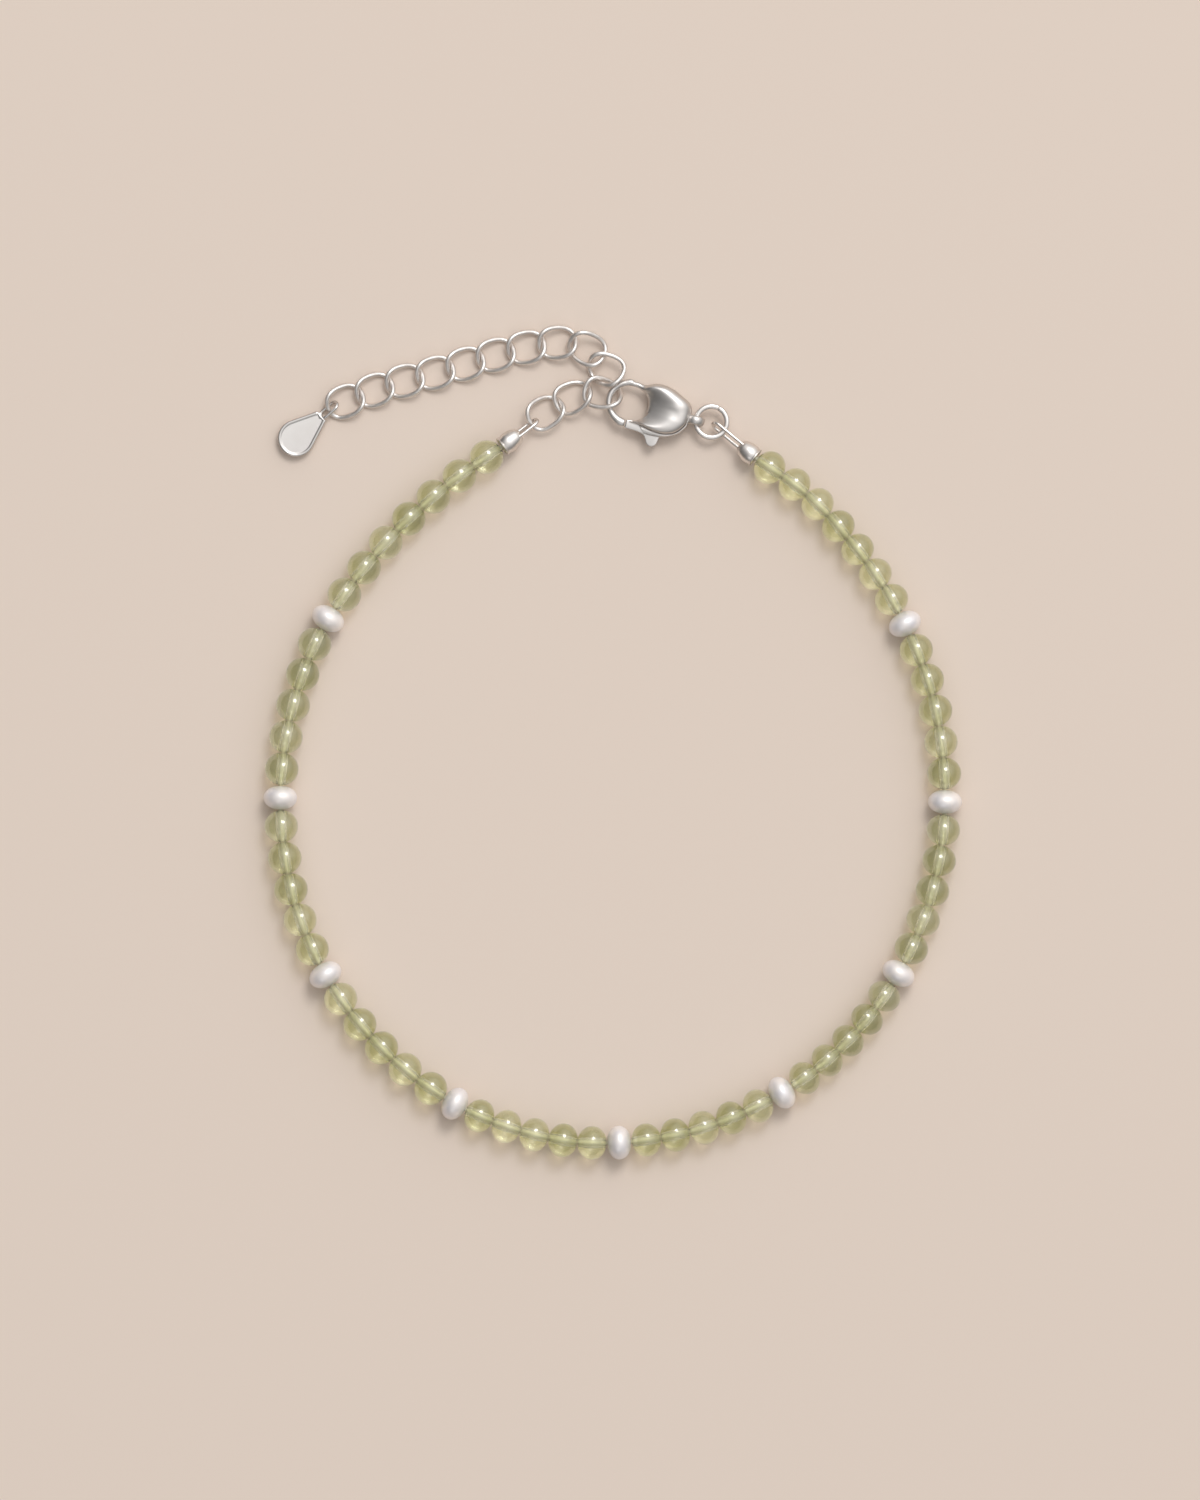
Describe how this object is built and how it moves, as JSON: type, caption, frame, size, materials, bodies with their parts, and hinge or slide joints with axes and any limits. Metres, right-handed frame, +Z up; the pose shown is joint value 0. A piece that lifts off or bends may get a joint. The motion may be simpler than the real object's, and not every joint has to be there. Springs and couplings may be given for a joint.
{
  "type": "pearl bracelet",
  "caption": "Beaded bracelet with a pearl between each run of small round glass beads, lying closed, with a lobster clasp and an extension chain that ends in a drop tag.",
  "frame": {"origin": "on the surface that the bracelet lies on, under the middle of its bounding box", "axes": "+Z up from the surface; +Y from the middle of the bead string to the clasp; +X to the right, from the extension chain's end to the clasp's tail"},
  "size_m": [0.0612, 0.073, 0.003],
  "materials": {
    "green_glass": "polished translucent olive-green glass beads on a pale thread",
    "pearl": "lustrous pearl",
    "silver": "polished silver",
    "satin_silver": "satin silver"
  },
  "bodies": {
    "bracelet": {"bead_string_left": "green_glass", "bead_string_right": "green_glass", "pearl_1": "pearl", "pearl_2": "pearl", "pearl_3": "pearl", "pearl_4": "pearl", "pearl_5": "pearl", "pearl_6": "pearl", "pearl_7": "pearl", "pearl_8": "pearl", "pearl_9": "pearl", "chain_link_01": "silver", "chain_link_02": "silver", "chain_link_03": "silver", "chain_link_04": "silver", "chain_link_05": "silver", "chain_link_06": "silver", "chain_link_07": "silver", "chain_link_08": "silver", "chain_link_09": "silver", "chain_link_10": "silver", "chain_link_11": "silver", "chain_link_12": "silver", "chain_link_13": "silver", "end_cap_left": "silver", "end_cap_right": "silver", "jump_ring": "silver", "clasp_body": "satin_silver", "drop_tag": "satin_silver"},
    "lever": {"clasp_lever": "silver"}
  },
  "joints": [
    {"name": "clasp_lever", "type": "hinge", "parent": "bracelet", "child": "lever", "pos_m": [0.0037, 0.02734, 0.00117], "axis": [0, 0, -1], "range_deg": [0, 25], "stiffness_Nm_per_rad": 0.003}
  ]
}
